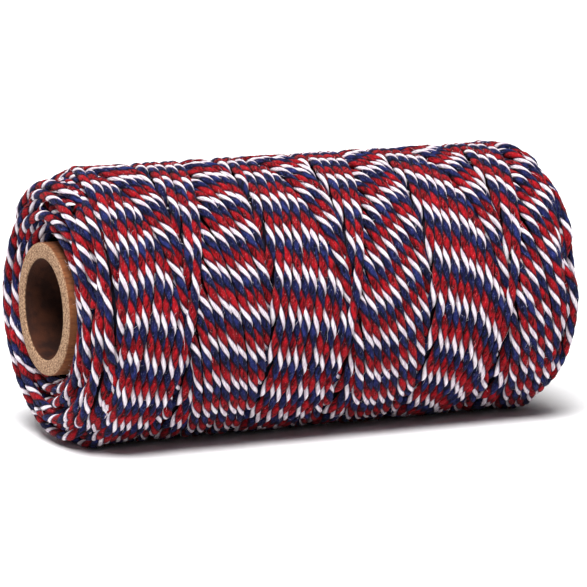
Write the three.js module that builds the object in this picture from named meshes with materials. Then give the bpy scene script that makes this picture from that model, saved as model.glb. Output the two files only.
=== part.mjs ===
// A roll of twisted cotton twine, cross-wound on a spiral-wound cardboard tube.
// The roll lies on its side. X runs along the tube, Z is up, and the origin is on the surface
// below the middle of the roll. All sizes are in millimetres and all angles in degrees.
import * as THREE from "three";

// Driving sizes of the wound package
const ROLL_RADIUS = 30; // from the axis to the crest of the outermost turns
const TWINE_PITCH = 2.05; // from one turn to the next, side by side
const LEAD = 38; // how far a turn travels along the tube while it goes round once
const TURNS_IN_LEAD = 18; // turns that lie side by side in one lead
const GROOVE_DEPTH = 0.8; // how deep the valley between two turns is
const CROSSING_DIP = 0.45; // how far turns sink where they dive under the next band

// The crowned ends of the winding
const CROWN_RADIUS = 21.5; // distance from the axis where an end stands out furthest
const SHOULDER_LENGTH = 8; // along the tube, from the crown back to the full radius
const END_HOLLOW = 2.2; // how far the end drops back where it meets the tube

// The cardboard tube
const TUBE_LENGTH = 117.6;
const TUBE_OUTER_RADIUS = 14.3;
const TUBE_INNER_RADIUS = 10.9;
const TUBE_EDGE_ROUND = 0.4; // the cut edge of the board is a little worn
const TUBE_SIDES = 60;
const FIT_GAP = 0.3; // between the tube and the first layer of twine

// Where the roll rests, its own weight presses the turns level. These are angles from straight
// down: the half width of the flat spot, and where the turns are fully round again.
const FLAT_ANGLE = 10;
const ROUND_AGAIN_ANGLE = 30;

// The outer layer, band by band from the left end to the right. Each pass of the winding goes to
// one end and comes back, so its two directions cross at the same places in every pass, half a
// lead apart. lean is +1 where the turns travel towards +X as they come down the front, and -1
// where they travel back. rows says how wide the band is, in half turns of twine.
const BANDS = [
  { name: "left end band", rows: 10, lean: -1 },
  { name: "left leaning band", rows: 18, lean: 1 },
  { name: "left steep band", rows: 18, lean: -1 },
  { name: "right leaning band", rows: 18, lean: 1 },
  { name: "right steep band", rows: 18, lean: -1 },
  { name: "right end band", rows: 12, lean: 1 },
];

// Each turn has a crest and a valley, and each row of points is half a turn's width further on.
// In one row the crests then move on by one column, which is the angle at which the turns cross.
const COLUMNS = 2 * TURNS_IN_LEAD;
const COLUMN_ANGLE = 360 / COLUMNS;
const ROW_WIDTH = LEAD / COLUMNS;

const BARREL_ROWS = BANDS.reduce((sum, band) => sum + band.rows, 0);
const BARREL_END_X = (BARREL_ROWS * ROW_WIDTH) / 2;
const END_X = BARREL_END_X + SHOULDER_LENGTH;
const HOLE_RADIUS = TUBE_OUTER_RADIUS + FIT_GAP;
const AXIS_HEIGHT = ROLL_RADIUS * Math.cos(THREE.MathUtils.degToRad(FLAT_ANGLE));

// Outline of one end, from the tube out over the crown and the shoulder to the full radius.
function endOutline() {
  const outline = new THREE.Path();
  outline.moveTo(END_X - END_HOLLOW, HOLE_RADIUS);
  outline.quadraticCurveTo(END_X, (HOLE_RADIUS + CROWN_RADIUS) / 2, END_X, CROWN_RADIUS);
  const shoulderRise = ROLL_RADIUS - CROWN_RADIUS;
  outline.absellipse(BARREL_END_X, CROWN_RADIUS, SHOULDER_LENGTH, shoulderRise, 0, Math.PI / 2);
  return outline;
}

// Rows of the right end, from the tube outwards. Turns lie there as rings round the tube, so
// every second row is a valley.
function endRows() {
  const outline = endOutline();
  const turns = Math.round(outline.getLength() / TWINE_PITCH);
  const points = outline.getSpacedPoints(2 * turns);
  return points.map((point, k) => {
    const before = points[Math.max(k - 1, 0)];
    const after = points[Math.min(k + 1, points.length - 1)];
    const along = new THREE.Vector2().subVectors(after, before).normalize();
    const depth = k % 2 === 0 ? GROOVE_DEPTH : 0;
    const outward = { x: along.y, radius: -along.x };
    return { x: point.x, radius: point.y, outward, crest: depth, valley: depth, shift: 0, lean: 1 };
  });
}

// Rows of the barrel. shift counts the columns that the crests have moved round since the start.
function barrelRows() {
  const rows = [];
  const outward = { x: 0, radius: 1 };
  let shift = 0;
  for (const { rows: width, lean } of BANDS) {
    for (let k = 1; k <= width; k++) {
      shift += lean;
      const x = -BARREL_END_X + (rows.length + 1) * ROW_WIDTH;
      const crest = k === width ? CROSSING_DIP : 0;
      rows.push({ x, radius: ROLL_RADIUS, outward, crest, valley: GROOVE_DEPTH, shift, lean });
    }
  }
  rows.pop(); // the shoulder of the right end starts there
  return rows;
}

// All rows of the winding, from the left edge of the hole over the outside to the right edge.
function windingRows() {
  const left = endRows().map((row) => ({
    ...row,
    x: -row.x,
    outward: { x: -row.outward.x, radius: row.outward.radius },
  }));
  return [...left, ...barrelRows(), ...endRows().reverse()];
}

// How much of a valley's depth is left at an angle from straight down.
function reliefAt(angle) {
  const fromDown = Math.abs(THREE.MathUtils.euclideanModulo(angle + 180, 360) - 180);
  return THREE.MathUtils.smoothstep(fromDown, FLAT_ANGLE, ROUND_AGAIN_ANGLE);
}

// A point of the winding. Its angle is measured from straight down and is -90 at the front, so
// it grows down the front. No point is lower than the surface that the roll rests on.
function windingPoint(row, column) {
  const angle = column * COLUMN_ANGLE;
  const onCrest = (column - row.shift) % 2 === 0;
  const depth = (onCrest ? row.crest : row.valley) * reliefAt(angle);
  const radius = row.radius - depth * row.outward.radius;
  const radians = THREE.MathUtils.degToRad(angle);
  return [
    row.x - depth * row.outward.x,
    radius * Math.sin(radians),
    Math.max(0, AXIS_HEIGHT - radius * Math.cos(radians)),
  ];
}

// The rows close into one skin, because the last row is joined to the first along the hole.
// Each four-sided cell is split along the turns, so that crests and valleys run on unbroken.
function windingGeometry() {
  const rows = windingRows();
  const points = [];
  const faces = [];
  rows.forEach((row, j) => {
    const next = (j + 1) % rows.length;
    for (let i = 0; i < COLUMNS; i++) {
      points.push(...windingPoint(row, i));
      const beside = (i + 1) % COLUMNS;
      const a = j * COLUMNS + i;
      const b = j * COLUMNS + beside;
      const c = next * COLUMNS + beside;
      const d = next * COLUMNS + i;
      if (rows[next].lean > 0) faces.push(a, b, c, a, c, d);
      else faces.push(a, b, d, b, c, d);
    }
  });
  const geometry = new THREE.BufferGeometry();
  geometry.setAttribute("position", new THREE.Float32BufferAttribute(points, 3));
  geometry.setIndex(faces);
  geometry.computeVertexNormals();
  return geometry;
}

function woundTwine() {
  const dyedCotton = new THREE.MeshStandardMaterial({
    color: "#a52a3a",
    roughness: 0.95,
    metalness: 0,
  });
  const mesh = new THREE.Mesh(windingGeometry(), dyedCotton);
  mesh.name = "wound_twine";
  return mesh;
}

// The tube is turned round its own axis and then laid along X.
function coreTube() {
  const half = TUBE_LENGTH / 2;
  const inner = TUBE_INNER_RADIUS;
  const outer = TUBE_OUTER_RADIUS;
  const worn = TUBE_EDGE_ROUND;
  const corners = [
    [inner, -half + worn],
    [inner + worn, -half],
    [outer - worn, -half],
    [outer, -half + worn],
    [outer, half - worn],
    [outer - worn, half],
    [inner + worn, half],
    [inner, half - worn],
    [inner, -half + worn],
  ];
  const profile = corners.map(([radius, along]) => new THREE.Vector2(radius, along));
  const kraftBoard = new THREE.MeshStandardMaterial({
    color: "#a9855c",
    roughness: 0.9,
    metalness: 0,
  });
  const mesh = new THREE.Mesh(new THREE.LatheGeometry(profile, TUBE_SIDES), kraftBoard);
  mesh.name = "core_tube";
  mesh.rotation.z = -Math.PI / 2;
  mesh.position.z = AXIS_HEIGHT;
  return mesh;
}

const roll = new THREE.Group();
roll.name = "twine_roll";
roll.add(coreTube(), woundTwine());

export default roll;
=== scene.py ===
# %% [markdown]
# # A roll of twisted cotton twine on a cardboard tube
#
# The object is a roll of craft twine: three cotton plies, one red, one bleached white and one navy,
# twisted into a twine two millimetres thick and cross-wound on an open cardboard tube.
#
# In a winding the twine itself is the shape. A smooth barrel with a picture of twine on it looks
# wrong from near, because every turn is round, every ply stands proud of the crease beside it, and
# turns dive under each other. So this lesson winds the roll: it works out where each pass of twine
# lies and which one lies on top, and then sweeps the three plies along it. The roll rests on the
# ground at Z = 0, X runs along the tube, and -Y is its front.

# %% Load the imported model
import math

import bpy
import numpy as np
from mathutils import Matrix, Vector


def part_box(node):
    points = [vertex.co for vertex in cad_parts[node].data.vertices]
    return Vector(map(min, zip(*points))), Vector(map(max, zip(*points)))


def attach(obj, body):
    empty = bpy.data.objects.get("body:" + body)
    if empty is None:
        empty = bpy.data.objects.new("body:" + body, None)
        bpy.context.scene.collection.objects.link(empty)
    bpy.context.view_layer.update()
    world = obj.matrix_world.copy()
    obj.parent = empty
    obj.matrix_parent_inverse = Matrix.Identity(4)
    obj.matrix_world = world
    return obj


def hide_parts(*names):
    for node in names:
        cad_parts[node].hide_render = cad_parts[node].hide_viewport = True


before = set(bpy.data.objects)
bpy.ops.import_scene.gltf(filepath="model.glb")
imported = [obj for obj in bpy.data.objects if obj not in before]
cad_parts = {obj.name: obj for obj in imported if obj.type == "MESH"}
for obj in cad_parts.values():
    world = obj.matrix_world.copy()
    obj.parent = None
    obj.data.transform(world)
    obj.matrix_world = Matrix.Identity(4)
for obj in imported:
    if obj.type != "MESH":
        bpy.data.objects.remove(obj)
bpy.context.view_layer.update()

for part in ("core_tube", "wound_twine"):
    low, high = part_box(part)
    print(part, "is", [round(1000 * (b - a), 2) for a, b in zip(low, high)], "mm")

# %% [markdown]
# ## The outline that the turns fill
#
# Before winding, the maker's sizes are written down once. The roll is a body of revolution: a
# barrel, a rounded shoulder at each end, and an end face that bulges a little and then falls back
# to the tube. A curve for that outline could be drawn by hand, but a quarter ellipse and one
# quadratic curve give it from a few sizes. Places on the roll are then given by s, the distance
# along the outline from the middle of the barrel, and by the angle round the axis.

# %% Sizes in millimetres, and the outline
MM = 0.001
FULL_TURN = 2 * math.pi
ROLL_RADIUS = 30.0      # from the axis to the crest of the outermost turns
BARREL_END = 49.61      # where the shoulder starts, from the middle
SHOULDER = 8.0          # how far the shoulder reaches along the tube
CROWN_RADIUS = 21.5     # where an end stands out furthest
END_HOLLOW = 2.2        # how far the end falls back at the tube
HOLE_RADIUS = 14.6      # the hole that the tube fills
LEVEL_ANGLE = 10        # degrees to each side of straight down where the turns are pressed level
AXIS_HEIGHT = ROLL_RADIUS * math.cos(math.radians(LEVEL_ANGLE))


def end_outline(steps=240):
    """Points (along the tube, from the axis) from the middle of the barrel to the tube."""
    turn = np.linspace(0, math.pi / 2, steps)
    shoulder = np.column_stack((
        BARREL_END + SHOULDER * np.sin(turn),
        CROWN_RADIUS + (ROLL_RADIUS - CROWN_RADIUS) * np.cos(turn),
    ))
    end_x = BARREL_END + SHOULDER
    crown = np.array([end_x, CROWN_RADIUS])
    bend = np.array([end_x, (HOLE_RADIUS + CROWN_RADIUS) / 2])
    hole = np.array([end_x - END_HOLLOW, HOLE_RADIUS])
    t = np.linspace(0, 1, steps)[1:, None]
    hollow = (1 - t) ** 2 * crown + 2 * t * (1 - t) * bend + t ** 2 * hole
    return np.vstack(([0, ROLL_RADIUS], shoulder, hollow))


outline = end_outline()
outline_s = np.append(0, np.cumsum(np.linalg.norm(np.diff(outline, axis=0), axis=1)))
along = np.gradient(outline, outline_s, axis=0)
along /= np.linalg.norm(along, axis=1)[:, None]
outline_out = np.column_stack((-along[:, 1], along[:, 0]))
HALF_OUTLINE = outline_s[-1]


def surface(s):
    """At s: the place along the tube, the distance from the axis, and the outward direction."""
    side = np.where(s < 0, -1.0, 1.0)
    at = np.abs(s)
    x, r = (np.interp(at, outline_s, c) for c in outline.T)
    out_x, out_r = (np.interp(at, outline_s, c) for c in outline_out.T)
    return x * side, r, out_x * side, out_r


def in_space(x, r, angle):
    """A point of the roll. The angle is measured from straight down and is -90 at the front."""
    return np.column_stack((x, r * np.sin(angle), AXIS_HEIGHT - r * np.cos(angle)))


print(f"half outline {HALF_OUTLINE:.2f} mm, barrel {2 * BARREL_END:.1f} mm long")

# %% [markdown]
# ## How the machine lays the twine
#
# A winding machine turns the tube and sends the twine to and fro along it. In this roll the twine
# travels 38 mm along the tube in one turn, goes to one end and comes back in a little less than
# six turns, and so each pass lies one twine's width beside the one before. At the ends it can't
# turn in a sharp corner: it rounds the shoulder on a short curve. No pass lies quite true, so the
# corners and the line itself waver a little.
#
# Eighteen passes each way make a full layer. Some of the layer below is wound too, because it
# shows wherever two turns lie a little apart.
#
# The path could be one long Blender curve, but the next step needs to know for every point how far
# along the twine it is. So it is a plain array of points at equal steps, from the outer end of
# the twine backwards: the first rows are the twine that was laid last.

# %% Even steps along a wavering line
TWINE = 2.05            # thickness of the twine, and the distance from turn to turn
RADIUS = TWINE / 2
TWIST_LENGTH = 8.8      # the plies go once round each other in this length
STEPS_IN_TWIST = 14
STEP = TWIST_LENGTH / STEPS_IN_TWIST

chance = np.random.default_rng(38)


def waver(length, wave, size, parts=4):
    """A slow, seeded wavering along the twine: a sum of sines of about one wavelength."""
    total = np.zeros_like(length)
    for _ in range(parts):
        total += np.sin(FULL_TURN * length / (wave * chance.uniform(0.6, 1.6))
                        + chance.uniform(0, FULL_TURN))
    return size * total / math.sqrt(parts)


def even_steps(turns, s, angle):
    """The same path with a point at each even step of its real length."""
    x, r, out_x, out_r = surface(s)
    points = in_space(x - RADIUS * out_x, r - RADIUS * out_r, angle)
    length = np.append(0, np.cumsum(np.linalg.norm(np.diff(points, axis=0), axis=1)))
    steps = np.arange(0, length[-1], STEP)
    found = {"length": steps}
    for key, values in (("turns", turns), ("s", s), ("angle", angle)):
        found[key] = np.interp(steps, length, values)
    return found


print(f"one step is {STEP:.2f} mm of twine")

# %% The path of the outer layer
LEAD = 38.0             # how far the twine travels along the tube in one turn
SIDE_BY_SIDE = 18       # passes that lie side by side before the surface is full
PASSES_BELOW = 12       # passes of the layer below, which show in the gaps
PASSES = 2 * SIDE_BY_SIDE + PASSES_BELOW
TURNS_BACK = 6          # turns until the twine passes its own neighbour
PASS_TURNS = (TURNS_BACK - 1 / SIDE_BY_SIDE) / 2   # turns from one end to the other
RIGHT_CORNER = 57.0     # where a pass would turn back at the right if corners were sharp
LEFT_CORNER = RIGHT_CORNER - LEAD * PASS_TURNS
CORNER_PLAY = 0.4       # how far a corner may be out of place
BEND_TURNS = (0.12, 0.22)                 # how much of a turn the rounded corner takes up
LINE_WAVER = (0.6, 0.1)                   # wavelength in turns, and size in mm
SEAM_ANGLE = math.radians(-90)            # the last passes cross at the front
LAST_ANGLE = SEAM_ANGLE + math.pi - FULL_TURN * PASS_TURNS
PASS_STEP = 0.004       # turns between the points before they are set at even steps


def outer_layer():
    """Passes of the outer layer and the newest ones below it, back from the twine's outer end."""
    turns = np.arange(0, PASSES * PASS_TURNS, PASS_STEP)
    corner = np.floor(turns / PASS_TURNS).astype(int)
    count = corner.max() + 2
    corners = np.where(np.arange(count) % 2 == 0, RIGHT_CORNER, LEFT_CORNER)
    corners = corners + chance.uniform(-CORNER_PLAY, CORNER_PLAY, count)
    bends = chance.uniform(*BEND_TURNS, count)
    share = turns / PASS_TURNS - corner
    s = corners[corner] + (corners[corner + 1] - corners[corner]) * share
    for number, off in ((corner, share), (corner + 1, 1 - share)):
        bend = bends[number]
        short = np.maximum(bend - off * PASS_TURNS, 0)
        s -= np.sign(corners[number]) * LEAD * short ** 2 / (2 * bend)
    s += waver(turns, *LINE_WAVER)
    return even_steps(turns, s, LAST_ANGLE + FULL_TURN * turns)


layer = outer_layer()
print(f"{layer['length'][-1] / 1000:.1f} m of twine in {PASSES} passes,"
      f" corners at {LEFT_CORNER:.1f} and {RIGHT_CORNER:.1f} mm")

# %% [markdown]
# ## The bends of older layers
#
# On the barrel the outer layer hides nearly all the rest. On the shoulders and the end faces the
# bends of older layers show: long arcs round the tube, each of which rises from under newer twine
# and dives back under it. Three arcs take up one ring's width on the way in to the tube, and each
# starts over a third of a turn on from the one before, so that no two dive at the same place.
# Behind them lie two loose spirals of still older twine, half a ring apart, which fill the gaps.
# Plain rings would be simpler, but they look like a coiled mat.

# %% Arcs and rings on the end faces
ARCS_IN_RING = 3
ARC_SHIFT = 0.382       # turns from one arc to the next
SHIFT_PLAY = 0.03       # turns by which an arc may be out of place
ARC_PLAY = 0.15         # how far it may be out of place along the outline
RING_WIDTH = 2.4        # from one ring of arcs to the next
ARC_HALF = 0.25         # turns from the middle of an arc to where it is lost from sight
ARC_BEND = 0.35         # turns in which an arc would come to head for the other end
FIRST_ARC = 0.7         # how far the first arc lies outside the bends of the outer layer
ARC_WAVER = (0.3, 0.06)
SPIRAL_WAVER = (0.45, 0.12)
ARC_STEP = 0.002        # turns between the points before they are set at even steps
LAST_RING = HALF_OUTLINE - RADIUS - 0.05   # the ring that touches the tube
LAST_PEAK = LAST_RING + 0.4                # arcs are laid until one would lie past this


def bend_reach(side):
    """How far out the bends of the outer layer reach, on the mean."""
    corner = RIGHT_CORNER if side > 0 else -LEFT_CORNER
    return corner - LEAD * sum(BEND_TURNS) / 4


def end_arcs(side):
    """Older bends on one end face, from the shoulder to the tube."""
    peak = bend_reach(side) + FIRST_ARC
    middle = chance.uniform(0, FULL_TURN)
    arcs = []
    while peak < LAST_PEAK:
        turns = np.arange(-ARC_HALF, ARC_HALF, ARC_STEP)
        back = LEAD * (turns ** 2 / (2 * ARC_BEND))
        place = np.minimum(peak + chance.uniform(-ARC_PLAY, ARC_PLAY), LAST_RING) - back
        place += waver(turns, *ARC_WAVER)
        arcs.append(even_steps(turns, side * place, middle - side * FULL_TURN * turns))
        peak += RING_WIDTH / ARCS_IN_RING
        middle += FULL_TURN * (ARC_SHIFT + chance.uniform(-SHIFT_PLAY, SHIFT_PLAY))
    return arcs


def ring_spiral(side, shift):
    """A loose spiral on an end face, from the shoulder in to the tube."""
    start = bend_reach(side) - shift
    turns = np.arange(0, (HALF_OUTLINE - start) / RING_WIDTH, ARC_STEP)
    s = np.minimum(start + RING_WIDTH * turns, LAST_RING) + waver(turns, *SPIRAL_WAVER)
    angle = chance.uniform(0, FULL_TURN) - side * FULL_TURN * turns
    return even_steps(turns, side * np.minimum(s, LAST_RING), angle)


older = []
for right, left in zip(end_arcs(1), end_arcs(-1)):
    older += [right, left]
for shift in (0, RING_WIDTH / 2):
    older += [ring_spiral(1, shift), ring_spiral(-1, shift)]
winding = [layer] + older
print(len(older), "older lengths,",
      f"{sum(w['length'][-1] for w in winding) / 1000:.1f} m of twine in all")

# %% [markdown]
# ## Which turn lies on top
#
# Twine that was laid later lies over twine that was laid before. A physics simulation of thirty
# metres of twine would take hours. The same result comes from going back in time: the newest
# twine lies at the surface, and each older piece has to lie below the undersides of all the
# newer pieces it meets. A map of the roll, unrolled, remembers how deep those undersides are.

# %% A map of the unrolled roll
CELL = 0.1              # size of the map's cells along the outline
MAP_HALF = HALF_OUTLINE + 2
MAP_ROWS = int(2 * MAP_HALF / CELL) + 1
MAP_COLUMNS = 1080      # cells once round the roll

underside = np.zeros((MAP_ROWS, MAP_COLUMNS), np.float32)
covered = np.zeros((MAP_ROWS, MAP_COLUMNS), bool)


def cells(s, angle, ts, ta, r, across):
    """The map's cells at these distances to the side of the twine."""
    s = s[:, None] + across * ta[:, None]
    angle = angle[:, None] - across * (ts / r)[:, None]
    row = np.clip(np.rint((s + MAP_HALF) / CELL).astype(int), 0, MAP_ROWS - 1)
    column = np.rint(angle * (MAP_COLUMNS / FULL_TURN)).astype(int) % MAP_COLUMNS
    return row, column


def heading(s, angle):
    """The twine's direction on the unrolled surface, and its distance from the axis."""
    r = surface(s)[1] - RADIUS
    ds, da = np.gradient(s), r * np.gradient(angle)
    size = np.hypot(ds, da)
    return ds / size, da / size, r


print("map of", MAP_ROWS, "by", MAP_COLUMNS, "cells")

# %% [markdown]
# ### Sinking each length under the newer ones
#
# The twine is followed a few points at a time. The deepest underside on the map across its width
# says how deep it has to lie. Because twine is springy, its depth is smoothed along its length, so
# that it dives and rises gently. Then its own underside goes on the map, some points late, because
# the smoothing needs the depths ahead. The same map says what can't be seen and is left out.

# %% Work out the depth of every turn
PRESSED = 0.82 * RADIUS  # twine is soft, so crossing turns press into each other
DEEPEST = RADIUS + 2.7  # no turn that shows is pushed deeper
CHUNK = 16              # points that are handled together
STAMPS_IN_STEP = 6      # places in each step where the twine marks the map
WIDEN = 3               # points by which a deep place is widened before the depth is smoothed
BLUR_REACH, BLUR_WIDTH = 10, 3.2        # points
NO_UNDERSIDE = -9       # so far above the surface that it leaves no mark

across_touch = np.linspace(-0.85, 0.85, 9) * PRESSED
across_seen = np.linspace(-0.8, 0.8, 7) * RADIUS
across_stamp = np.linspace(-1.08, 1.08, 25) * RADIUS
blur = np.exp(-0.5 * (np.arange(-BLUR_REACH, BLUR_REACH + 1) / BLUR_WIDTH) ** 2)
blur /= blur.sum()


def smoothed(raw, first, last):
    """Depths at points first to last, widened and then blurred."""
    reach = BLUR_REACH + WIDEN
    at = np.clip(np.arange(first - reach, last + reach), 0, len(raw) - 1)
    wide = np.lib.stride_tricks.sliding_window_view(raw[at], 2 * WIDEN + 1).max(1)
    return np.convolve(wide, blur, "valid")


def sink(path):
    """Gives a length of twine its depth and says which of its points can be seen."""
    s, angle = path["s"], path["angle"]
    count = len(s)
    ts, ta, r = heading(s, angle)
    raw = np.full(count, RADIUS)
    depth = np.full(count, RADIUS)
    seen = np.zeros(count, bool)
    lift = np.sqrt(PRESSED ** 2 - across_touch ** 2)
    hang = np.sqrt(np.maximum(PRESSED ** 2 - across_stamp ** 2, 0))
    hang[hang == 0] = NO_UNDERSIDE
    for first in range(0, count + CHUNK, CHUNK):
        if first < count:
            part = slice(first, min(first + CHUNK, count))
            place = [values[part] for values in (s, angle, ts, ta, r)]
            below = underside[cells(*place, across_touch)]
            need = np.where(below > 0, below + lift, 0).max(1)
            raw[part] = np.clip(need, RADIUS, DEEPEST)
            seen[part] = ~covered[cells(*place, across_seen)].all(1)
        if first > 0:
            done = slice(first - CHUNK, min(first, count))
            depth[done] = smoothed(raw, done.start, done.stop)
            fine = np.arange(done.start, min(done.stop, count - 1), 1 / STAMPS_IN_STEP)
            *place, deep = [np.interp(fine, np.arange(count), values)
                            for values in (s, angle, ts, ta, r, depth)]
            where = cells(*place, across_stamp)
            np.maximum.at(underside, where, (deep[:, None] + hang).astype(np.float32))
            covered[where] = True
    path["depth"], path["seen"] = depth, seen


for path in winding:
    sink(path)
print(f"the map is {100 * covered.mean():.0f} % covered, {underside.max():.1f} mm deep at most")

# %% Find the stretches that show
REACH_UNDER = 6         # points that a turn goes on under its neighbour before it ends
SHORTEST = 3            # points; a shorter glimpse of a turn is left out


def shown_runs(seen):
    """First and last points of each stretch that shows, a little longer at both ends."""
    wide = np.convolve(seen, np.ones(2 * REACH_UNDER + 1), "same") > 0
    edges = np.flatnonzero(np.diff(np.concatenate(([0], wide.astype(int), [0]))))
    return [(a, b) for a, b in edges.reshape(-1, 2) if b - a >= 2 * REACH_UNDER + SHORTEST]


stretches = [(path, a, b) for path in winding for a, b in shown_runs(path["seen"])]
shown = sum(b - a for _, a, b in stretches)
print(f"{len(stretches)} stretches show, {shown * STEP / 1000:.2f} m in {shown} steps")

# %% [markdown]
# ## The twist, and the rows that its colours make
#
# Twisted twine has an S or a Z twist. This one is S twisted: on upright twine the plies lean
# like the middle of an S. The plies go round once in 8.8 mm.
#
# Two turns that lie side by side are more than a metre apart along the twine, and yet their
# colours stand in rows. That is because the machine comes back to the same place after six turns,
# which is very nearly a whole number of twists. At the left the rows are level. To the right
# each next turn is a little further out of step, and the rows slope more and more. The twist could
# be left to chance, but then the roll would look like confetti. So chance adds only a little.

# %% Twist along the twine
TWISTS_BACK = 127       # twists until the twine passes its own neighbour, each 8.8 mm long
ROWS_LEVEL = -20.0      # the rows are level from the left end to here
ROWS_SLOPE = 0.22       # twists out of step with the next turn at the right end of the barrel
ROWS_IN_BAND = 9        # turns of one direction that show in a band
# Waves in the rows: how many in six turns, how many rows until they have moved on by one wave
# (to the other side if negative), and their size in twists.
ROW_WAVES = ((2, 12, 0.07), (4, -9, 0.06), (7, 7, 0.04), (11, -6, 0.02))
TWIST_WAVERS = ((160.0, 0.07), (37.0, 0.03))    # wavelength in mm, and size in twists
THICK_WAVER = (14.0, 0.035)                     # wavelength in mm, and share of the thickness


def layer_twists(path):
    """How many times the plies have gone round, at each point of the outer layer."""
    journeys = path["turns"] / TURNS_BACK
    out_of_step = np.interp(path["s"], (ROWS_LEVEL, BARREL_END), (0, ROWS_SLOPE))
    twists = TWISTS_BACK * journeys + out_of_step * (journeys - ROWS_IN_BAND / 2)
    for waves, rows, size in ROW_WAVES:
        swing = journeys * (waves + 1 / rows)
        twists += size * np.sin(FULL_TURN * swing + chance.uniform(0, FULL_TURN))
    return twists


for path in winding:
    length = path["length"]
    if path is layer:
        twists = layer_twists(path)
    else:
        twists = length / TWIST_LENGTH + chance.uniform(0, 1)
    for wave, size in TWIST_WAVERS:
        twists = twists + waver(length, wave, size)
    path["twist"] = -FULL_TURN * twists
    path["thick"] = 1 + waver(length, *THICK_WAVER)
print(f"{np.ptp(layer['twist']) / FULL_TURN:.0f} twists in the {PASSES} passes")

# %% [markdown]
# ## Frames along the twine
#
# Every point of the twine gets a small frame: along the twine, out of the roll, and to the side.
# Near the ends, where bend crosses bend, the sinking has pushed many turns down. On the real roll
# they heap up instead, so they are lifted again there until they fill the outline.

# %% Centre line and directions
SWELL = 1.2             # how far the turns are lifted at the ends
SWELL_FROM, SWELL_OVER = 47.0, 8.0      # where that starts, and over what length it grows


def frames(path):
    """Centre line, sideways and outward directions of the twine at each point."""
    s, angle = path["s"], path["angle"]
    share = np.clip((np.abs(s) - SWELL_FROM) / SWELL_OVER, 0, 1)
    depth = path["depth"] - SWELL * share ** 2 * (3 - 2 * share)
    x, r, out_x, out_r = surface(s)
    centre = in_space(x - depth * out_x, r - depth * out_r, angle)
    ahead = np.gradient(centre, axis=0)
    ahead /= np.linalg.norm(ahead, axis=1)[:, None]
    out = np.column_stack((out_x, out_r * np.sin(angle), -out_r * np.cos(angle)))
    out -= (out * ahead).sum(1)[:, None] * ahead
    out /= np.linalg.norm(out, axis=1)[:, None]
    return centre, np.cross(ahead, out), out


for path in winding:
    path["centre"], path["side"], path["out"] = frames(path)
print("frames for", sum(len(path["s"]) for path in winding), "points")

# %% [markdown]
# ## Three plies make the twine
#
# A plain round tube with stripes would lose the creases between the plies, which are what
# catches the light. So each ply is swept as its own strand. Its outside is a rounded lobe, and its
# inside is flat, because plies that are twisted hard press flat against each other. The creases
# are shallow, since soft cotton fills them. The bleached ply is spun thinner than the dyed ones,
# so its lobe takes up less of the round, and its visible part is a narrow pointed streak.
#
# The sweep is done with arrays, because a curve object for each stretch would be slow. It also
# gives each ply the map on which its fibres are drawn later.

# %% Sweep a ply along the twine
CREST = RADIUS + 0.05   # to the top of a ply; soft turns press into each other at their sides
CREASE = 0.88           # from the twine's middle to the crease between two plies
LOBE_PLACES = np.array([-1, -0.55, 0, 0.55, 1])      # a ply's corners, in halves of its lobe
ACROSS = np.array([0, 0.2, 0.4, 0.6, 0.8, 1.0])      # the map's place round a ply
CORNERS = len(LOBE_PLACES)
TWISTS_IN_TILE = 8      # twists before the pattern of fibres on a ply repeats
STEPS_IN_TILE = TWISTS_IN_TILE * STEPS_IN_TWIST


def lobe(half):
    """Angles of a ply's corners round the twine, and their distances from its middle."""
    angles = half * LOBE_PLACES
    offset = (CREST ** 2 - CREASE ** 2) / (2 * (CREST - CREASE * math.cos(half)))
    radius = CREST - offset
    return angles, offset * np.cos(angles) + np.sqrt(radius ** 2 - (offset * np.sin(angles)) ** 2)


def sweep(middle, half, chosen):
    """Points, faces, places on the map and lids of one ply in all the chosen stretches."""
    angles, reach = lobe(half)
    corner = np.arange(CORNERS)
    beside = (corner + 1) % CORNERS
    points, faces, marks, lids = [], [], [], []
    base = 0
    for path, a, b in chosen:
        centre, side, out = (path[key][a:b, None, :] for key in ("centre", "side", "out"))
        around = path["twist"][a:b, None] + middle + angles
        far = reach * path["thick"][a:b, None]
        ring = (centre + (far * np.sin(around))[..., None] * side
                + (far * np.cos(around))[..., None] * out)
        points.append(ring.reshape(-1, 3))
        start = base + CORNERS * np.arange(b - a - 1)[:, None]
        faces.append(np.stack((start + corner, start + beside, start + CORNERS + beside,
                               start + CORNERS + corner), -1).reshape(-1, 4))
        tile = ((a + np.arange(b - a - 1)) % STEPS_IN_TILE)[:, None] / STEPS_IN_TILE
        u0, u1 = ACROSS[:-1] + 0 * tile, ACROSS[1:] + 0 * tile
        v0, v1 = tile + 0 * u0, tile + 0 * u0 + 1 / STEPS_IN_TILE
        marks.append(np.stack((u0, v0, u1, v0, u1, v1, u0, v1), -1).reshape(-1, 4, 2))
        lids += [base + corner[::-1], base + corner + CORNERS * (b - a - 1)]
        base += CORNERS * (b - a)
    points = np.vstack(points)
    points[:, 2] = np.maximum(points[:, 2], 0)   # the ground presses the lowest turns level
    return points, np.vstack(faces), np.vstack(marks), np.array(lids)


print(f"a lobe stands {CREST - CREASE:.2f} mm proud of its creases")

# %% Objects from arrays
LOBE_MIDDLE = 0.4       # the crest's place on the map
DOT = 0.003             # lids and fibres take the colour of a dot this small on the map


def new_object(name, mesh):
    piece = bpy.data.objects.new(name, mesh)
    bpy.context.scene.collection.objects.link(piece)
    return piece


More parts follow.
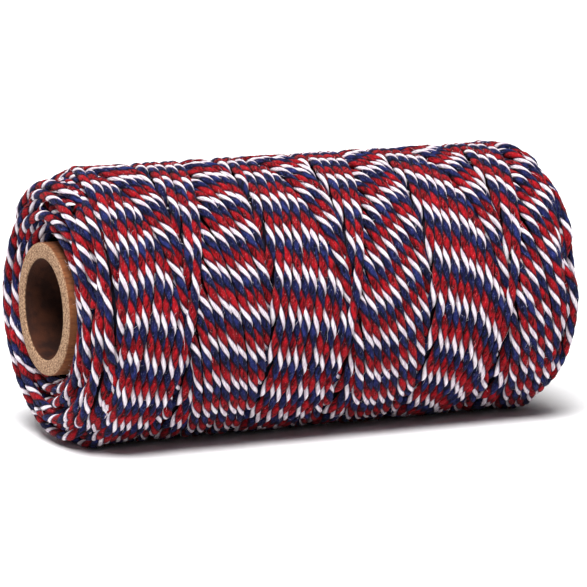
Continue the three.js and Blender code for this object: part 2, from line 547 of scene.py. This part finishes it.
def mesh_of(name, points, quads, marks, lids):
    """An object from arrays, with the places on the map in a UV map."""
    mesh = bpy.data.meshes.new(name)
    mesh.vertices.add(len(points))
    mesh.vertices.foreach_set("co", (points * MM).ravel())
    loops = np.concatenate((quads.ravel(), lids.ravel()))
    sides = lids.shape[1]
    sizes = np.concatenate((np.full(len(quads), 4), np.full(len(lids), sides)))
    mesh.loops.add(len(loops))
    mesh.loops.foreach_set("vertex_index", loops)
    mesh.polygons.add(len(sizes))
    mesh.polygons.foreach_set("loop_start", np.concatenate(([0], np.cumsum(sizes)[:-1])))
    mesh.polygons.foreach_set("loop_total", sizes)
    around = FULL_TURN * np.arange(sides) / sides
    dot = LOBE_MIDDLE + DOT * np.column_stack((np.cos(around), np.sin(around)))
    places = np.vstack((marks.reshape(-1, 2), np.tile(dot, (len(lids), 1))))
    mesh.uv_layers.new(name="OFBake").data.foreach_set("uv", places.ravel())
    mesh.update(calc_edges=True)
    return new_object(name, mesh)


def mark_creases(piece):
    """Makes the edges along both rims of a ply sharp, so that the crease stays crisp."""
    edges = piece.data.edges
    ends = np.empty(2 * len(edges), np.int32)
    edges.foreach_get("vertices", ends)
    crease = np.isin(ends.reshape(-1, 2) % CORNERS, (0, CORNERS - 1)).all(1)
    sharp = piece.data.attributes.new("sharp_edge", "BOOLEAN", "EDGE")
    sharp.data.foreach_set("value", crease)


# %% Make the plies
HALF_ANGLES = {"red": 74, "white": 41, "navy": 65}   # half of the round that each ply takes up
ENDS_FROM = BARREL_END - 2      # a stretch whose middle lies past this belongs to an end

groups = {"barrel": [], "ends": []}
for path, a, b in stretches:
    at_an_end = abs(path["s"][(a + b) // 2]) > ENDS_FROM
    groups["ends" if at_an_end else "barrel"].append((path, a, b))
lobes, yarns = {}, []
taken = 0.0             # how much of the round the plies so far take up, from the red one's middle
for colour, degrees in HALF_ANGLES.items():
    half = math.radians(degrees)
    middle = taken + half if lobes else 0.0
    taken = middle + half
    lobes[colour] = (middle, half)
    for place, chosen in groups.items():
        piece = mesh_of(f"{colour}_ply_{place}", *sweep(middle, half, chosen))
        mark_creases(piece)
        yarns.append((piece, colour))
        print(f"{piece.name}: {len(chosen)} stretches, {2 * len(piece.data.polygons)} triangles")

# %% [markdown]
# ## Loose fibres
#
# Cotton is spun from fibres two or three centimetres long, and thousands of their ends stand up
# from the twine and soften its edge. A hair system would draw them, but it is no mesh and is lost
# when the model is exported. So each fibre is a tiny three-sided tube, curved once, and all fibres
# of a colour are one mesh. They are thicker than real ones, at 0.06 mm against 0.02 mm, and far
# fewer, or they would not show.

# %% Lines of the fibres
FIBRES = 2800           # on each colour
TRIES = 12              # places that are looked at for each fibre; most don't face outwards
FACING = 0.1            # cosine of the angle past which a place doesn't face outwards
NEAR_TOP = RADIUS + 0.6         # fibres on turns deeper than this would be hidden
ROOT_DEPTH = 0.12       # a fibre starts this far inside the ply
FIBRE_RISE = (0.25, 0.85)       # how far it stands up
FIBRE_RUN, FIBRE_SWAY = 1.0, 0.45       # how far it strays along the twine and to the side
FIBRE_POINTS = 3


spots = {key: np.concatenate([path[key][a:b] for path, a, b in stretches])
         for key in ("centre", "side", "out", "twist", "depth")}


def fibre_lines(middle, half):
    """Lines of the fibres on the outward side of one ply, and a direction across each."""
    pick = chance.integers(len(spots["twist"]), size=TRIES * FIBRES)
    around = spots["twist"][pick] + middle + half * chance.uniform(-0.8, 0.8, pick.size)
    outward = (np.cos(around) > FACING) & (spots["depth"][pick] < NEAR_TOP)
    keep = np.flatnonzero(outward)[:FIBRES]
    pick, around = pick[keep], around[keep, None]
    side, out = spots["side"][pick], spots["out"][pick]
    up = np.sin(around) * side + np.cos(around) * out
    ahead = np.cross(out, side)
    beside = np.cross(up, ahead)
    root = spots["centre"][pick] + (RADIUS - ROOT_DEPTH) * up
    rise = chance.uniform(*FIBRE_RISE, len(keep))[:, None]
    run = chance.normal(0, FIBRE_RUN, len(keep))[:, None]
    sway = chance.normal(0, FIBRE_SWAY, len(keep))[:, None]
    t = np.linspace(0, 1, FIBRE_POINTS)[None, :, None]
    lines = (root[:, None] + up[:, None] * rise[:, None] * t * (1.9 - t)
             + ahead[:, None] * run[:, None] * t + beside[:, None] * sway[:, None] * t ** 2)
    return lines, beside + 0.3 * up


print(len(spots["twist"]), "places where a fibre can start")

# %% Tubes along the lines
FIBRE_RADIUS = 0.03
FIBRE_SIDES = 3
TAPER = 0.6             # share of its thickness that a fibre has lost at its tip


def fibre_tubes(lines, across):
    """Points, faces and lids of thin tubes along the lines."""
    forward = lines[:, -1] - lines[:, 0]
    forward /= np.linalg.norm(forward, axis=1)[:, None]
    first = np.cross(forward, across)
    first /= np.linalg.norm(first, axis=1)[:, None]
    second = np.cross(forward, first)
    turn = FULL_TURN * np.arange(FIBRE_SIDES) / FIBRE_SIDES
    ring = (np.cos(turn)[None, :, None] * first[:, None]
            + np.sin(turn)[None, :, None] * second[:, None])
    t = np.linspace(0, 1, FIBRE_POINTS)[None, :, None]
    thick = FIBRE_RADIUS * (1 - TAPER * t)
    points = lines[:, :, None] + thick[..., None] * ring[:, None]
    points[..., 2] = np.maximum(points[..., 2], 0)
    corner = np.arange(FIBRE_SIDES)
    beside = (corner + 1) % FIBRE_SIDES
    base = FIBRE_SIDES * FIBRE_POINTS * np.arange(len(lines))[:, None]
    start = base[..., None] + FIBRE_SIDES * np.arange(FIBRE_POINTS - 1)[:, None]
    quads = np.stack((start + corner, start + beside, start + FIBRE_SIDES + beside,
                      start + FIBRE_SIDES + corner), -1).reshape(-1, 4)
    lids = np.vstack((base + corner[::-1], base + corner + FIBRE_SIDES * (FIBRE_POINTS - 1)))
    return points.reshape(-1, 3), quads, lids


for colour, (middle, half) in lobes.items():
    points, quads, lids = fibre_tubes(*fibre_lines(middle, half))
    spot = chance.uniform(0.1, 0.7, (len(quads), 1, 2))
    marks = spot + DOT * np.array([[0, 0], [1, 0], [1, 1], [0, 1]])
    piece = mesh_of(f"{colour}_loose_fibres", points, quads, marks, lids)
    yarns.append((piece, colour))
    print(f"{piece.name}: {2 * len(piece.data.polygons)} triangles")

# %% [markdown]
# ## The turns inside
#
# Between the outer turns one can look a little way in, on more twine in shadow. The rest of its
# sixty metres or so would cost millions of faces that nobody sees, so the inside is one solid. It
# also closes the roll round the tube.

# %% The inside of the winding
INNER_DEPTH = 3.3       # how far below the crests the inner turns lie
INNER_LOWEST = 0.4      # they stay this far above the ground
INNER_ROWS, INNER_COLUMNS = 110, 130


def closed_skin(name, rings):
    """A closed object from rings of equally many points, the last joined to the first."""
    rows, columns = len(rings), len(rings[0])
    column = np.arange(columns)
    beside = (column + 1) % columns
    faces = []
    for row in range(rows):
        here, there = row * columns, ((row + 1) % rows) * columns
        faces.append(np.stack((here + column, here + beside, there + beside, there + column), -1))
    mesh = bpy.data.meshes.new(name)
    mesh.from_pydata((np.vstack(rings) * MM).tolist(), [], np.vstack(faces).tolist())
    mesh.shade_smooth()
    return new_object(name, mesh)


def inner_rings():
    """Rings below the outer turns, from the hole at the left to the hole at the right."""
    s = np.linspace(-HALF_OUTLINE, HALF_OUTLINE, INNER_ROWS)
    x, r, out_x, out_r = surface(s)
    x, r = x - INNER_DEPTH * out_x, np.maximum(r - INNER_DEPTH * out_r, HOLE_RADIUS)
    angle = np.linspace(-math.pi, math.pi, INNER_COLUMNS, endpoint=False)
    rings = [in_space(np.full(INNER_COLUMNS, a), np.full(INNER_COLUMNS, b), angle)
             for a, b in zip(x, r)]
    for ring in rings:
        ring[:, 2] = np.maximum(ring[:, 2], INNER_LOWEST)
    return rings


inside = closed_skin("inner_turns", inner_rings())
print(inside.name, len(inside.data.polygons), "faces")

# %% [markdown]
# ## Materials
#
# Colours are written as sRGB hex, as a colour picker shows them, and one function turns them to
# the linear numbers that Blender works with. Another adds a node with its settings and links, and
# a third lays one colour over another where a pattern is strong.

# %% Helpers for colours and nodes
MULTIPLY = {"operation": "MULTIPLY"}


def linear(code):
    """sRGB hex to linear red, green, blue and alpha."""
    parts = [int(code[i:i + 2], 16) / 255 for i in (1, 3, 5)]
    return [p / 12.92 if p <= 0.04045 else ((p + 0.055) / 1.055) ** 2.4 for p in parts] + [1]


def node(tree, kind, settings=None, **inputs):
    """Adds a node. An input is a value, an sRGB hex, a socket, or a node's first live output.

    Inputs go by name with _ for a space, or by number as in0, in1 where names repeat.
    """
    made = tree.nodes.new(kind)
    for key, value in (settings or {}).items():
        setattr(made, key, value)
    for key, value in inputs.items():
        if key[:2] == "in" and key[2:].isdigit():
            socket = made.inputs[int(key[2:])]
        else:
            socket = next(s for s in made.inputs if s.enabled and s.name.replace(" ", "_") == key)
        if isinstance(value, bpy.types.Node):
            value = next(s for s in value.outputs if s.enabled)
        if isinstance(value, bpy.types.NodeSocket):
            tree.links.new(value, socket)
        else:
            socket.default_value = linear(value) if isinstance(value, str) else value
    return made


def blend(tree, pattern, low, high, under, over, most=1.0):
    """One colour over another, by a share that grows to the most while the pattern goes up."""
    share = node(tree, "ShaderNodeMapRange", {"interpolation_type": "SMOOTHSTEP"}, Value=pattern,
                 From_Min=low, From_Max=high, To_Max=most)
    return node(tree, "ShaderNodeMix", {"data_type": "RGBA"}, Factor=share, A=under, B=over)


def new_material(name):
    """An empty material and its node tree."""
    material = bpy.data.materials.new(name)
    material.use_nodes = True
    material.node_tree.nodes.clear()
    return material, material.node_tree


print("mid grey in linear numbers:", round(linear("#808080")[0], 3))

# %% [markdown]
# ### Dyed cotton yarn
#
# Each ply is spun from cotton fibres, dyed or bleached. Cotton is matt, because its fibres send
# light in all directions, and a faint pale sheen lies on it where loose fibre ends stand up. What
# the eye sees on a ply is streaks: the fibres, which run nearly parallel to the twine because the
# plies were twisted against their own spin. A fibre is about 0.02 mm thick. The streaks are drawn
# nine times as wide, with finer ones in them, and a second set is wider still, or they would
# vanish in the render. Towards a crease the colour turns dark along a ragged border: this is
# painted shade, for the creases between the plies, where little light reaches.
#
# The pattern is noise, drawn on the map that runs with each ply: across it, and along it for eight
# twists. It is bent into a closed loop both ways, so that it repeats with no seam.

# %% Noise that closes on itself
TWINE_ROUND = 1.0       # radius in mm at which the noise is bent round the twine
TILE_LENGTH = TWISTS_IN_TILE * TWIST_LENGTH
LOBE_IN_ROUND = 1 / 2.4  # a ply's outside is 0.8 of the map's width and a third of the round
# How many blotches of noise there are in a millimetre, across the twine and along it
FIBRE_STREAKS = (5.5, 0.7)      # 0.18 mm wide, against 0.02 mm for a real fibre
STRAND_STREAKS = (2.4, 0.4)
DYE_PATCHES = (1.1, 0.4)
FIBRE_ENDS = (7.0, 2.4)


def looped_noise(tree, round_twine, along_tile, per_mm, **settings):
    """Noise on the loop round the twine and the loop along it, with its own scale for each."""
    near, far = TWINE_ROUND * per_mm[0], TILE_LENGTH / FULL_TURN * per_mm[1]
    wanted = ((round_twine, "COSINE", near), (round_twine, "SINE", near),
              (along_tile, "COSINE", far), (along_tile, "SINE", far))
    places = []
    for source, kind, size in wanted:
        angle = node(tree, "ShaderNodeMath", MULTIPLY, in0=source, in1=FULL_TURN)
        wave = node(tree, "ShaderNodeMath", {"operation": kind}, in0=angle)
        places.append(node(tree, "ShaderNodeMath", MULTIPLY, in0=wave, in1=size))
    vector = node(tree, "ShaderNodeCombineXYZ", X=places[0], Y=places[1], Z=places[2])
    return node(tree, "ShaderNodeTexNoise", {"noise_dimensions": "4D"}, Vector=vector,
                W=places[3], Scale=1.0, **settings)


print(f"the pattern repeats after {TILE_LENGTH:.0f} mm of twine")

# %% Cotton materials
FIBRE_RELIEF = 0.32     # mm; coarser than real, like the streaks


def cotton(name, deep, main, light, fleck, fleck_share, crease_shade):
    """Dyed cotton: streaks from deep to light, slow unevenness of the dye, pale fibre ends, and
    painted shade towards the creases.
    """
    material, tree = new_material(name)
    uv = node(tree, "ShaderNodeUVMap", {"uv_map": "OFBake"})
    split = node(tree, "ShaderNodeSeparateXYZ", Vector=uv)
    u, v = split.outputs["X"], split.outputs["Y"]
    # A fibre keeps its place round the twine while the ply turns, so u is shifted along the tile.
    on_lobe = node(tree, "ShaderNodeMath", MULTIPLY, in0=u, in1=LOBE_IN_ROUND)
    turned = node(tree, "ShaderNodeMath", MULTIPLY, in0=v, in1=TWISTS_IN_TILE)
    place = node(tree, "ShaderNodeMath", {"operation": "SUBTRACT"}, in0=on_lobe, in1=turned)
    fibres = looped_noise(tree, place, v, FIBRE_STREAKS, Detail=3.0, Roughness=0.65)
    strands = looped_noise(tree, place, v, STRAND_STREAKS, Detail=2.0, Roughness=0.5)
    patches = looped_noise(tree, place, v, DYE_PATCHES, Detail=1.0)
    ends = looped_noise(tree, place, v, FIBRE_ENDS, Detail=1.0)
    streaks = node(tree, "ShaderNodeMath", {"operation": "ADD"}, in0=fibres, in1=strands)
    colour = blend(tree, streaks, 0.86, 1.1, deep, main)
    colour = blend(tree, patches, 0.45, 0.75, colour, light, most=0.7)
    colour = blend(tree, ends, 0.6, 0.74, colour, fleck, most=fleck_share)
    # Painted shade towards the creases: streaks that reach its border make it ragged.
    aside = node(tree, "ShaderNodeMath", {"operation": "SUBTRACT"}, in0=u, in1=LOBE_MIDDLE)
    away = node(tree, "ShaderNodeMath", {"operation": "ABSOLUTE"}, in0=aside)
    crease_shade_share = node(tree, "ShaderNodeMath", {"operation": "MULTIPLY_ADD"}, in0=streaks, in1=0.4, in2=away)
    colour = blend(tree, crease_shade_share, 0.62, 0.8, colour, crease_shade, most=0.95)
    rough = node(tree, "ShaderNodeMapRange", {"interpolation_type": "SMOOTHSTEP"}, Value=fibres,
                 From_Min=0.3, From_Max=0.7, To_Min=0.95, To_Max=0.82)
    relief = node(tree, "ShaderNodeBump", Strength=1.0, Distance=FIBRE_RELIEF * MM, Height=streaks)
    shader = node(tree, "ShaderNodeBsdfPrincipled", Base_Color=colour, Roughness=rough,
                  Normal=relief, Specular_IOR_Level=0.1, Sheen_Weight=0.04, Sheen_Roughness=0.5)
    node(tree, "ShaderNodeOutputMaterial", Surface=shader)
    return material


# The last colour of each cotton is the painted shade at its creases.
cottons = {
    "red": cotton("dyed_red_cotton", "#2e0108", "#920815", "#c21521", "#d98a90", 0.4, "#24051c"),
    "white": cotton("bleached_cotton", "#cbbac8", "#fdf4fa", "#fffdfe", "#d9a3b8", 0.3, "#7d6484"),
    "navy": cotton("dyed_navy_cotton", "#02020a", "#151846", "#2d377c", "#8d92b8", 0.4, "#070412"),
}
print(len(cottons), "cottons")

# %% [markdown]
# ### Twine in shadow
#
# The inner turns are only seen through narrow gaps. They are the same three matt cottons, but
# their colours are painted much darker, as painted shade, because little light comes in. All that
# shows of them is blotches as wide as a ply's stripe, and so they are drawn as such.

# %% Material of the inner turns
STRIPE = 1.6            # mm, how wide a ply's stripe is where it crosses the twine


def twine_in_painted_shade():
    """Blotches of the three cottons, darkened as painted shade."""
    material, tree = new_material("shaded_cotton_turns")
    spot = node(tree, "ShaderNodeTexCoord")
    long = node(tree, "ShaderNodeMapping", Vector=spot.outputs["Object"], Scale=(1, 0.4, 0.4))
    noise = node(tree, "ShaderNodeTexNoise", Vector=long, Scale=1 / (STRIPE * MM), Detail=2.0)
    # The ramp's colours are the three cottons darkened as painted shade.
    ramp = node(tree, "ShaderNodeValToRGB", Fac=noise)
    ramp.color_ramp.elements[0].position = 0.42
    ramp.color_ramp.elements[0].color = linear("#22060b")
    ramp.color_ramp.elements[1].position = 0.52
    ramp.color_ramp.elements[1].color = linear("#0b0e20")
    pale = ramp.color_ramp.elements.new(0.64)
    pale.color = linear("#2f2a33")
    shader = node(tree, "ShaderNodeBsdfPrincipled", Base_Color=ramp, Roughness=1.0,
                  Specular_IOR_Level=0.1)
    node(tree, "ShaderNodeOutputMaterial", Surface=shader)
    return material


# %% Dress the winding
inside.data.materials.append(twine_in_painted_shade())
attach(inside, "root")
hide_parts("wound_twine")
for piece, colour in yarns:
    piece.data.materials.append(cottons[colour])
    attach(piece, "root")
    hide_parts("wound_twine")
print(len(yarns) + 1, "pieces of twine")

# %% [markdown]
# ## The cardboard tube
#
# Tubes like this are made of long strips of kraft paper, glued and wound as a spiral, and cut
# with a knife. The cut edge is a little fuzzy and paler than the faces. The tube could keep the
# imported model's plain solid, but its flat sides would show at the rim, so a finer one is turned
# here: more sides, rounded and slightly worn edges, and a fine wobble where the knife tore fibres.

# %% Turn the tube
TUBE_HALF = 58.8
TUBE_OUT = 14.3
TUBE_IN = 10.9
TUBE_SIDES = 160
WORN_CORNER = ((0.0, 0.45), (0.06, 0.2), (0.22, 0.05))  # into the wall, and back from the cut
CUT_RINGS, CUT_GAP = 7, 0.37    # rings of points on the cut edge, and from one to the next
WALL_END, WALL_RINGS = 56, 11   # rings of points along the wall
TEAR = 0.035            # how deep the knife tore the cut edge
TORN_FROM = TUBE_HALF - 0.3     # points past this are on the cut edge


def tube_rings():
    """Rings of points round the tube's wall: cut edge, outside, cut edge, inside."""
    edge = [(TUBE_IN + into, back - TUBE_HALF) for into, back in WORN_CORNER]
    flat_from = edge[-1][0]
    edge += [(flat_from + CUT_GAP * k, -TUBE_HALF) for k in range(1, CUT_RINGS + 1)]
    edge += [(TUBE_OUT - into, back - TUBE_HALF) for into, back in reversed(WORN_CORNER)]
    wall = [(TUBE_OUT, x) for x in np.linspace(-WALL_END, WALL_END, WALL_RINGS)]
    inner = [(TUBE_IN, x) for x in np.linspace(WALL_END, -WALL_END, WALL_RINGS)]
    profile = edge + wall + [(r, -x) for r, x in edge[::-1]] + inner
    angle = np.linspace(0, FULL_TURN, TUBE_SIDES, endpoint=False)
    rings = []
    for r, x in profile[::-1]:
        # The knife only ever tears back into the board.
        tear = np.abs(chance.normal(0, TEAR, TUBE_SIDES)) * (abs(x) > TORN_FROM)
        rings.append(in_space(x - np.sign(x) * tear, np.full(TUBE_SIDES, r), angle))
    return rings


tube = closed_skin("kraft_tube", tube_rings())
print(tube.name, len(tube.data.polygons), "faces")

# %% [markdown]
# ### Kraft board
#
# Kraft board is brown, unbleached paper: matt, with long fibres pressed into its faces, and small
# dark specks. The faces are smoother and browner than the cut edge, where the ends of
# the fibres stand up and make it look pale and felted. The edge also shows the plies of
# paper, each about 0.55 mm thick, as thin rings. The inside is painted much darker, as painted
# shade, because little light gets into the bore. One material does all of it, and tells them
# apart by their place.

# %% Material of the tube
PAPER_PLY = 0.55
# How many blotches of noise there are in a millimetre. A paper fibre is only 0.03 mm thick, so
# the tufts and fibres are drawn fifteen to twenty times as coarse.
TUFTS, PAPER_FIBRES, PATCHES = 2.3, 1.5, 0.26
INSIDE_SHADE_FROM, INSIDE_SHADE_TO = TUBE_IN + 0.1, TUBE_IN + 0.4   # between them the painted shade of the inside ends
CUT_FROM, CUT_TO = TUBE_HALF - 0.5, TUBE_HALF - 0.1     # between them the cut edge begins


def kraft_board():
    """Brown fibrous board with a paler, mottled cut edge, and painted shade inside."""
    material, tree = new_material("kraft_board")
    spot = node(tree, "ShaderNodeTexCoord").outputs["Object"]
    split = node(tree, "ShaderNodeSeparateXYZ", Vector=spot)
    fine = node(tree, "ShaderNodeTexNoise", Vector=spot, Scale=TUFTS / MM, Detail=3.0,
                Roughness=0.65)
    flat = node(tree, "ShaderNodeMapping", Vector=spot, Scale=(0.25, 1, 1))
    fibres = node(tree, "ShaderNodeTexNoise", Vector=flat, Scale=PAPER_FIBRES / MM, Detail=4.0,
                  Roughness=0.7)
    patches = node(tree, "ShaderNodeTexNoise", Vector=spot, Scale=PATCHES / MM, Detail=2.0)
    face = blend(tree, fibres, 0.35, 0.65, "#653820", "#875230")
    face = blend(tree, patches, 0.4, 0.7, face, "#6d4128", most=0.5)
    cut = blend(tree, fine, 0.36, 0.64, "#6b4c37", "#c7a281")
    # Rings of paper: a wave of the distance from the tube's axis, bent a little by the patches.
    height = node(tree, "ShaderNodeMath", {"operation": "SUBTRACT"}, in0=split.outputs["Z"],
                  in1=AXIS_HEIGHT * MM)
    flat_spot = node(tree, "ShaderNodeCombineXYZ", X=split.outputs["Y"], Y=height)
    away = node(tree, "ShaderNodeVectorMath", {"operation": "LENGTH"}, in0=flat_spot)
    rings = node(tree, "ShaderNodeMath", MULTIPLY, in0=away.outputs["Value"],
                 in1=FULL_TURN / (PAPER_PLY * MM))
    bent = node(tree, "ShaderNodeMath", {"operation": "MULTIPLY_ADD"}, in0=patches, in1=9.0,
                in2=rings)
    wave = node(tree, "ShaderNodeMath", {"operation": "SINE"}, in0=bent)
    cut = blend(tree, wave, 0.3, 1.0, cut, "#7a5840", most=0.45)
    # The inside's painted shade, then the outer face, then the cut edge over both.
    inside_shade = blend(tree, patches, 0.35, 0.7, "#260e06", "#43200f")
    face = blend(tree, away.outputs["Value"], INSIDE_SHADE_FROM * MM, INSIDE_SHADE_TO * MM, inside_shade, face)
    past = node(tree, "ShaderNodeMath", {"operation": "ABSOLUTE"}, in0=split.outputs["X"])
    colour = blend(tree, past, CUT_FROM * MM, CUT_TO * MM, face, cut)
    relief = node(tree, "ShaderNodeBump", Strength=0.7, Distance=0.15 * MM, Height=fine)
    shader = node(tree, "ShaderNodeBsdfPrincipled", Base_Color=colour, Roughness=0.9,
                  Specular_IOR_Level=0.3, Normal=relief)
    node(tree, "ShaderNodeOutputMaterial", Surface=shader)
    return material


tube.data.materials.append(kraft_board())
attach(tube, "root")
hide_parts("core_tube")
print(tube.name, "is made of", tube.data.materials[0].name)

# %% [markdown]
# ## Floor, light and camera
#
# The picture is a plain product shot: the roll on white, in soft light from above and the front.
# The floor is matt white paper, so wide that a level view ends on it too. The key light is a sun
# with a very wide disc, which lights the far floor like the near, as a big softbox overhead would.
# A softbox at the back and the pale sky lift the shadows. The camera stands far away with a long
# lens, so that the roll's sides stay nearly parallel.

# %% Floor
FLOOR_HALF = 30.0       # metres
FLOOR_DROP = 0.1        # mm below the twine that is pressed level, so that the two don't mix
GRAIN = 0.3             # blotches in a millimetre


def pale_floor():
    """A wide matt sheet under the roll, with a faint grain."""
    mesh = bpy.data.meshes.new("studio_floor")
    corners = [(FLOOR_HALF * x, FLOOR_HALF * y, 0) for x, y in ((-1, -1), (1, -1), (1, 1), (-1, 1))]
    mesh.from_pydata(corners, [], [(0, 1, 2, 3)])
    floor = new_object("studio_floor", mesh)
    floor.location.z = -FLOOR_DROP * MM
    material, tree = new_material("pale_paper_backdrop")
    spot = node(tree, "ShaderNodeTexCoord").outputs["Object"]
    grain = node(tree, "ShaderNodeTexNoise", Vector=spot, Scale=GRAIN / MM, Detail=2.0)
    colour = node(tree, "ShaderNodeMix", {"data_type": "RGBA"}, Factor=grain, A="#f6f6f7",
                  B="#fbfbfc")
    shader = node(tree, "ShaderNodeBsdfPrincipled", Base_Color=colour, Roughness=0.9)
    node(tree, "ShaderNodeOutputMaterial", Surface=shader)
    floor.data.materials.append(material)
    return floor


pale_floor()
print(f"floor of {2 * FLOOR_HALF:.0f} m")

# %% Lights and sky
TOWARDS = Vector((0, 0, 0.03))      # the middle of the roll


def lamp(name, kind, place, power):
    """A light that faces the roll."""
    light = bpy.data.lights.new(name, kind)
    light.energy = power
    holder = new_object(name, light)
    holder.location = place
    holder.rotation_euler = (TOWARDS - Vector(place)).to_track_quat("-Z", "Y").to_euler()
    return light


key = lamp("key_light", "SUN", (-0.3, -0.42, 1.1), 5.3)
key.angle = math.radians(32)
back_light = lamp("back_softbox", "AREA", (0.2, 1.0, 0.9), 3.0)
back_light.size = 0.8

sky = bpy.data.worlds.new("pale_sky")
sky.use_nodes = True
background = sky.node_tree.nodes["Background"]
background.inputs["Color"].default_value = linear("#ffffff")
background.inputs["Strength"].default_value = 0.1
bpy.context.scene.world = sky
# Product shots on white are shown with plain contrast, not with film-like soft highlights.
bpy.context.scene.view_settings.view_transform = "Standard"
print("lights:", key.name, "and", back_light.name)

# %% Camera
# The angles and the lens were found by fitting the roll's outline and the ellipse of the tube.
IMAGE = 587             # pixels along each side of the picture
DISTANCE = 0.9
AZIMUTH, ELEVATION = math.radians(-25.56), math.radians(9.34)
FOCAL_PIXELS = 4097
MIDDLE_PIXEL = (291.3, 290.0)

lens = bpy.data.cameras.new("camera")
lens.sensor_width = 36.0
lens.lens = FOCAL_PIXELS * lens.sensor_width / IMAGE
lens.clip_start, lens.clip_end = 0.01, 2 * FLOOR_HALF
lens.shift_x = (IMAGE / 2 - MIDDLE_PIXEL[0]) / IMAGE
lens.shift_y = (MIDDLE_PIXEL[1] - IMAGE / 2) / IMAGE
camera = new_object("camera", lens)
back = Vector((math.sin(AZIMUTH) * math.cos(ELEVATION), -math.cos(AZIMUTH) * math.cos(ELEVATION),
               math.sin(ELEVATION)))
camera.location = Vector((0, 0, AXIS_HEIGHT * MM)) + DISTANCE * back
camera.rotation_euler = (-back).to_track_quat("-Z", "Y").to_euler()
bpy.context.scene.camera = camera
print("camera at", [round(v, 3) for v in camera.location], f"with a {lens.lens:.0f} mm lens")
